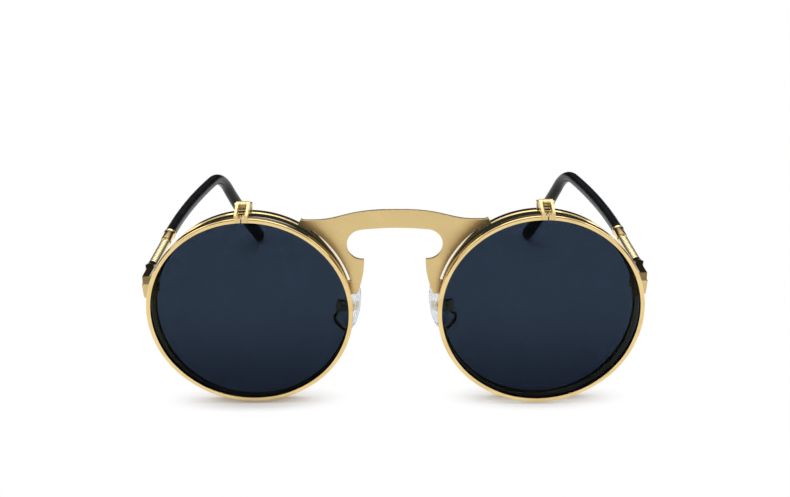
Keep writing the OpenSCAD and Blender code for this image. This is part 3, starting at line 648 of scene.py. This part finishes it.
def coil_bm():
    """The winding: one flattened wire wound close along the temple, its ends tucked in."""
    sizes = measures()
    half_high = sizes.coil_wire / 2
    half_wide = sizes.coil_width / 2
    margin = COIL_MARGIN * half_wide
    turns = (COIL_LENGTH - 2 * margin) / sizes.coil_pitch
    rise = sizes.coil_pitch / math.tau
    steps = int(turns * TURN_STEPS)
    along = temple_along(0)
    out = (X_AXIS - along * X_AXIS.dot(along)).normalized()
    up = along.cross(out)
    first = temple_at(COIL_START) + along * margin
    stations = []
    for i in range(steps + 1):
        turn = math.tau * turns * i / steps
        radial = out * math.cos(turn) + up * math.sin(turn)
        heading = (up * math.cos(turn) - out * math.sin(turn)) * sizes.coil_radius + along * rise
        end = min(1, i / TUCK_STEPS, (steps - i) / TUCK_STEPS)
        taper = lerp(TUCK_LEAST, 1, math.sqrt(1 - (1 - end) ** 2))
        place = first + along * (rise * turn) + radial * sizes.coil_radius
        stations.append(station(place, heading, radial, half_high * taper, half_wide * taper))
    return swept(stations, COIL_SIDES)


LIP_OUT = 0.16 * MM
LIP_FIT = 0.02 * MM
FERRULE_STEPS = 56


def ferrule_bm():
    """The ferrule: a tube whose rear lip holds the end of the sleeve."""
    radius = FERRULE_RADIUS
    lip = measures().sleeve_radius + LIP_OUT
    inner = measures().sleeve_radius - LIP_FIT
    end = FERRULE_LENGTH
    outline = [
        (0, 0), (radius - 0.22 * MM, 0), (radius - 0.07 * MM, 0.06 * MM), (radius, 0.22 * MM),
        (radius, end - 1.3 * MM), (radius + 0.03 * MM, end - 1.1 * MM), (lip - 0.04 * MM, end - 0.74 * MM),
        (lip, end - 0.62 * MM), (lip, end - 0.14 * MM), (lip - 0.04 * MM, end - 0.03 * MM),
        (lip - 0.09 * MM, end), (inner + 0.03 * MM, end), (inner, end - 0.03 * MM),
        (inner, end - LIP_DEEP), (0, end - LIP_DEEP),
    ]
    bm = turned(outline, FERRULE_STEPS)
    lean = Matrix.Rotation(TEMPLE_SLOPE, 4, "X")
    place = Matrix.Translation(temple_at(COIL_START + COIL_LENGTH))
    bmesh.ops.transform(bm, matrix=place @ lean, verts=bm.verts)
    return bm


# Lenses

LENS_FIT = 0.04 * MM
GROOVE = 0.5 * MM
GROOVE_WALL = 0.25 * MM
BEVEL_IN = 0.35 * MM
DOME_STEPS = 24
LENS_SHARP = math.radians(12)


def lens_outline(opening, rim_depth, thick, curve):
    """Outline of a domed lens whose bevelled edge runs in its rim's groove."""
    land = opening - LENS_FIT
    mouth = rim_depth / 2 - GROOVE_WALL - LENS_FIT
    edge = mouth - BEVEL_IN

    def dome(r):
        return math.sqrt(curve**2 - r**2) - math.sqrt(curve**2 - land**2)

    front = [(r, -dome(r) - thick / 2) for r in spaced(0, land, DOME_STEPS)]
    back = [(r, y + thick) for r, y in reversed(front)]
    rim = [(land, -mouth), (land + GROOVE, -edge), (land + GROOVE, edge), (land, mouth)]
    if mouth > thick / 2:
        rim = rim[1:3]
    return front + rim + back


def lens_matrix(kind, side):
    """Where a lens stands, main or flip, before a right one is mirrored."""
    if kind == "main":
        return Matrix.Translation(FRONT_ORIGIN + X_AXIS * LENS_X)
    hinge = Matrix.Translation(FLIP_AXIS + X_AXIS * LENS_X)
    return hinge @ Matrix.Rotation(FLIP_LEAN - FLIP_OPEN[side], 4, "X") @ Matrix.Translation(FLIP_BACK)


def lens_piece(kind, side, opening, depth, thick, curve):
    """Builds one lens, main or flip, for one side."""
    bm = turned(lens_outline(opening, depth, thick, curve), measures().lens_steps)
    bmesh.ops.transform(bm, matrix=lens_matrix(kind, side), verts=bm.verts)
    node = f"{kind}_lens_{side}"
    seat(piece_of(mirrored(bm, side), "dished_" + node, LENS_SHARP), node)


# Nose pads


def pad_matrix():
    """Carries a pad's own axes, X outward, Y back and Z up, to its place on the left."""
    turn = Matrix.Rotation(-PAD_SPLAY, 4, "Z") @ Matrix.Rotation(-PAD_LEAN, 4, "Y")
    return Matrix.Translation(PAD_CENTRE) @ turn


# Layers from the back of a pad to its face: place through its thickness, and share of its outline
PAD_LAYERS = (
    (-0.5, 0.16), (-0.5, 0.42), (-0.475, 0.62), (-0.43, 0.74), (-0.34, 0.87), (-0.22, 0.95), (-0.06, 0.995),
    (0.08, 0.995), (0.24, 0.95), (0.36, 0.88), (0.44, 0.79), (0.485, 0.68), (0.5, 0.5), (0.5, 0.18),
)
PAD_EGG = 0.12
PAD_SIDES = 36


def pad_bm():
    """A soft egg-shaped pad, domed toward the nose."""
    sizes = measures()
    half_wide, half_high = sizes.pad_width / 2, sizes.pad_height / 2
    stations = [
        station(X_AXIS * (depth * sizes.pad_thick), X_AXIS, Y_AXIS, share * half_wide, share * half_high)
        for depth, share in PAD_LAYERS
    ]
    bm = swept(stations, PAD_SIDES, lambda p: Vector((p.x * (1 - PAD_EGG * p.y), p.y, p.z)))
    bmesh.ops.transform(bm, matrix=pad_matrix(), verts=bm.verts)
    return bm


# The arm's foot on the main rim, and its head at the pad box
ARM_ANGLE = math.radians(18)
ARM_FOOT_R = 24.75 * MM
ARM_FOOT_BACK = 1 * MM
ARM_REACH = 2.5 * MM
ARM_SWING = Vector((3.2, 0, -3.0)) * MM
ARM_STRAIGHT = 0.5 * MM
ARM_HEAD = Vector((3.3, 0, -1.2)) * MM
ARM_STEPS = 36
ARM_SIDES = 20


def arm_bm():
    """The bent wire from the back of the main rim to the foot of the pad box."""
    radius = measures().arm_radius
    sideways = LENS_X - ARM_FOOT_R * math.cos(ARM_ANGLE)
    foot = FRONT_ORIGIN + Vector((sideways, ARM_FOOT_BACK, -ARM_FOOT_R * math.sin(ARM_ANGLE)))
    placed = pad_matrix()
    controls = (
        foot + Y_AXIS * ARM_STRAIGHT,
        foot + Y_AXIS * ARM_REACH,
        placed @ (ARM_HEAD + ARM_SWING),
        placed @ (ARM_HEAD - Z_AXIS * ARM_STRAIGHT),
    )
    curve = [bezier(controls, share) for share in spaced(0, 1, ARM_STEPS)]
    points = [foot, *curve, placed @ ARM_HEAD]
    headings = [after - before for before, after in zip(points, points[2:])]
    headings = [Y_AXIS, *headings, placed.to_3x3() @ Z_AXIS]
    stations = [station(*pair, X_AXIS, radius, radius) for pair in zip(points, headings)]
    return swept(stations, ARM_SIDES)


# Operators, one for each group of like pieces


class FLIPUP_OT_rims(bpy.types.Operator):
    """Build the rims and the bridge plate with rounded edges"""

    bl_idname = "flipup.rims"
    bl_label = "Rims and bridge plate"

    def execute(self, context):
        sizes = context.scene.flipup_sizes
        rounded("bridge_plate", sizes.edge_round)
        for side in SIDES:
            rounded("main_rim_" + side, sizes.rim_round, segments=3)
            rounded("flip_rim_" + side, sizes.rim_round, segments=3)
        return {"FINISHED"}


SMALL_PARTS = (
    "flip_bracket", "flip_ear_inner", "flip_ear_outer", "pad_box",
    "rim_screw", "flip_screw", "temple_screw", "pad_screw", "pad_core",
)


class FLIPUP_OT_hinges(bpy.types.Operator):
    """Build the end pieces, hinge parts and screws with rounded edges"""

    bl_idname = "flipup.hinges"
    bl_label = "Hinges and screws"

    def execute(self, context):
        sizes = context.scene.flipup_sizes
        for side in SIDES:
            rounded("end_piece_" + side, sizes.edge_round)
            # The roots take the gold that is painted dark, a painted dark reflection
            rounded("temple_root_" + side, sizes.edge_round, finish="root_painted_dark_gold")
            for part in SMALL_PARTS:
                rounded(f"{part}_{side}", sizes.small_round)
        return {"FINISHED"}


class FLIPUP_OT_lenses(bpy.types.Operator):
    """Build the clear main lenses and the tinted flip lenses"""

    bl_idname = "flipup.lenses"
    bl_label = "Lenses"

    def execute(self, context):
        sizes = context.scene.flipup_sizes
        for side in SIDES:
            lens_piece("main", side, sizes.main_opening, MAIN_RIM_DEPTH, sizes.main_thick, MAIN_DOME)
            lens_piece("flip", side, sizes.flip_opening, FLIP_RIM_DEPTH, sizes.flip_thick, FLIP_DOME)
        return {"FINISHED"}


class FLIPUP_OT_temples(bpy.types.Operator):
    """Build the temples' wires, windings, ferrules and sleeves"""

    bl_idname = "flipup.temples"
    bl_label = "Temples"

    def execute(self, context):
        makers = {
            "temple_wire": ("drawn_", wire_bm),
            "temple_coil": ("wound_", coil_bm),
            "temple_ferrule": ("turned_", ferrule_bm),
            "temple_sleeve": ("hooked_", sleeve_bm),
        }
        for side in SIDES:
            for part, (prefix, make) in makers.items():
                node = f"{part}_{side}"
                seat(piece_of(mirrored(make(), side), prefix + node), node)
        return {"FINISHED"}


class FLIPUP_OT_pads(bpy.types.Operator):
    """Build the nose pads and the wires that carry them"""

    bl_idname = "flipup.pads"
    bl_label = "Nose pads"

    def execute(self, context):
        for side in SIDES:
            seat(piece_of(mirrored(arm_bm(), side), "bent_pad_arm_" + side), "pad_arm_" + side)
            pad = piece_of(mirrored(pad_bm(), side), "soft_nose_pad_" + side, math.pi)
            smooth = pad.modifiers.new("Soft surface", "SUBSURF")
            smooth.levels = 1
            smooth.render_levels = 1
            seat(pad, "nose_pad_" + side)
        return {"FINISHED"}


# The studio

VIEW_LENS = 52.405
VIEW_SENSOR = 36
VIEW_PLACE = Vector((-0.985, -334.483, 130.386)) * MM
VIEW_DOWN = math.radians(18.28)
VIEW_TURN = math.radians(-0.22)
VIEW_ROLL = math.radians(0.38)


def make_camera(scene):
    """The camera, at the photograph's viewing angle."""
    data = bpy.data.cameras.new("camera")
    data.lens = VIEW_LENS
    data.sensor_width = VIEW_SENSOR
    data.clip_start = 0.01
    data.clip_end = 20
    camera = bpy.data.objects.new("camera", data)
    aim = Matrix.Rotation(VIEW_TURN, 3, "Z") @ Matrix.Rotation(-VIEW_DOWN, 3, "X")
    right, ahead, down = aim @ X_AXIS, aim @ Y_AXIS, aim @ -Z_AXIS
    cosine, sine = math.cos(VIEW_ROLL), math.sin(VIEW_ROLL)
    across = right * cosine + down * sine
    below = down * cosine - right * sine
    axes = Matrix((across, -below, -ahead)).transposed().to_4x4()
    camera.matrix_world = Matrix.Translation(VIEW_PLACE) @ axes
    scene.collection.objects.link(camera)
    scene.camera = camera


# Each lamp's name, place and size in metres, and power in watts
LAMPS = (
    ("top_lamp", (0, 0.05, 0.75), 0.7, 2.5),
    ("left_lamp", (-0.6, -0.25, 0.4), 0.35, 0.6),
    ("right_lamp", (0.6, -0.25, 0.4), 0.35, 0.6),
)


def make_lamp(scene, name, place, size, watts):
    """A soft square lamp that faces the glasses."""
    data = bpy.data.lights.new(name, "AREA")
    data.shape = "SQUARE"
    data.size = size
    data.energy = watts
    lamp = bpy.data.objects.new(name, data)
    lamp.location = place
    lamp.rotation_euler = (-Vector(place)).to_track_quat("-Z", "Y").to_euler()
    scene.collection.objects.link(lamp)


def seen_directly(f):
    """1 for rays from the camera, or from it through a lens or off metal, and 0 for others."""
    kinds = ("Is Camera Ray", "Is Glossy Ray", "Is Transmission Ray")
    camera, glossy, through = (f.node("LightPath", output=kind) for kind in kinds)
    return f.node("Math", {0: camera + glossy + through, 1: 1.0}, operation="MINIMUM")


# Spots of the floor that keep their shadow: middle to the side and back, half width and half depth
RIM_SHADE = (LENS_X, -63 * MM, 26 * MM, 9 * MM)
TIP_SHADE = (46 * MM, 64 * MM, 16 * MM, 22 * MM)


def shade_distance(spot, across, along):
    """Distance from the middle of a shaded spot, as a share of the spot's half sizes."""
    middle_x, middle_y, half_wide, half_deep = spot
    sideways = (across - middle_x) * (1 / half_wide)
    forward = (along - middle_y) * (1 / half_deep)
    return (sideways * sideways + forward * forward) ** 0.5


PAPER = (0.80, 0.80, 0.80)
PAPER_PALE = (0.84, 0.84, 0.84)
SHADE_PAPER = (0.84, 0.835, 0.845)
SHADE_GLOW = 0.14
WHITE = (1, 1, 1)


def floor_finish(f):
    """White paper: pale and matt, white where it is seen, with the shadow under the rims and tips kept."""
    place = f.place()
    paper = f.blend(f.noise(place, 300, detail=4), PAPER, PAPER_PALE)
    plain = f.node("BsdfDiffuse", {"Color": paper})
    x, along = (f.node("SeparateXYZ", {"Vector": place}, output=axis) for axis in "XY")
    across = f.node("Math", {0: x}, operation="ABSOLUTE")
    distances = [shade_distance(spot, across, along) for spot in (RIM_SHADE, TIP_SHADE)]
    distance = f.node("Math", dict(enumerate(distances)), operation="MINIMUM")
    soft = f.node("BsdfDiffuse", {"Color": SHADE_PAPER})
    glow = f.node("Emission", {"Color": WHITE, "Strength": SHADE_GLOW})
    shaded = f.node("AddShader", {0: soft, 1: glow})
    white = f.node("Emission", {"Color": WHITE, "Strength": 1.0})
    shown = f.node("MixShader", {0: f.spread(distance, 0.25, 1.0), 1: shaded, 2: white})
    return f.surface(f.node("MixShader", {0: seen_directly(f), 1: plain, 2: shown}))


# The studio brightens between these heights of the view, 0 at the horizon and 1 overhead
SKY_HEIGHTS = (0.38, 0.75)
SKY_STRENGTHS = (0.03, 0.85)
FLOOR_HALF = 6


def make_world(scene):
    """A studio that is bright overhead and dim toward the horizon, with white behind what is seen."""
    world = bpy.data.worlds.new("studio")
    scene.world = world
    f = Finish(world)
    direction = f.node("TexCoord", output="Generated")
    height = f.node("SeparateXYZ", {"Vector": direction}, output="Z")
    strength = f.spread(height, *SKY_HEIGHTS, *SKY_STRENGTHS)
    studio = f.node("Background", {"Color": WHITE, "Strength": strength})
    white = f.node("Background", {"Color": WHITE, "Strength": 1.0})
    camera_ray = f.node("LightPath", output="Is Camera Ray")
    through = f.node("LightPath", output="Is Transmission Ray")
    seen = f.node("Math", {0: camera_ray, 1: through}, operation="MAXIMUM")
    f.node_output("OutputWorld", f.node("MixShader", {0: seen, 1: studio, 2: white}))


class FLIPUP_OT_stage(bpy.types.Operator):
    """Set up the floor, the lamps, the white studio and the camera"""

    bl_idname = "flipup.stage"
    bl_label = "Floor, lamps and camera"

    def execute(self, context):
        scene = context.scene
        scene.view_settings.view_transform = "Standard"
        bm = bmesh.new()
        bmesh.ops.create_grid(bm, x_segments=1, y_segments=1, size=FLOOR_HALF)
        floor = piece_of(bm, "floor")
        floor.data.materials.append(floor_finish(Finish(bpy.data.materials.new("paper"))))
        for name, place, size, watts in LAMPS:
            make_lamp(scene, name, place, size, watts)
        make_world(scene)
        make_camera(scene)
        return {"FINISHED"}


class FLIPUP_PT_panel(bpy.types.Panel):
    """Builders of the glasses' pieces, with their sizes and colours"""

    bl_idname = "FLIPUP_PT_panel"
    bl_label = "Flip-up sunglasses"
    bl_space_type = "VIEW_3D"
    bl_region_type = "UI"
    bl_category = "Flip-up"

    def draw(self, context):
        for operator in OPERATORS:
            self.layout.operator(operator.bl_idname)
        for group in (context.scene.flipup_sizes, context.scene.flipup_colours):
            box = self.layout.box()
            for name in group.bl_rna.properties.keys():
                if name not in ("rna_type", "name"):
                    box.prop(group, name)


OPERATORS = (
    FLIPUP_OT_rims,
    FLIPUP_OT_hinges,
    FLIPUP_OT_lenses,
    FLIPUP_OT_temples,
    FLIPUP_OT_pads,
    FLIPUP_OT_stage,
)
CLASSES = (FLIPUP_PG_sizes, FLIPUP_PG_colours, *OPERATORS, FLIPUP_PT_panel)


def register():
    for cls in CLASSES:
        bpy.utils.register_class(cls)
    bpy.types.Scene.flipup_sizes = PointerProperty(type=FLIPUP_PG_sizes)
    bpy.types.Scene.flipup_colours = PointerProperty(type=FLIPUP_PG_colours)


def unregister():
    del bpy.types.Scene.flipup_colours
    del bpy.types.Scene.flipup_sizes
    for cls in reversed(CLASSES):
        bpy.utils.unregister_class(cls)


def main():
    register()
    bpy.ops.flipup.rims()
    bpy.ops.flipup.hinges()
    bpy.ops.flipup.lenses()
    bpy.ops.flipup.temples()
    bpy.ops.flipup.pads()
    bpy.ops.flipup.stage()


if __name__ == "__main__":
    main()
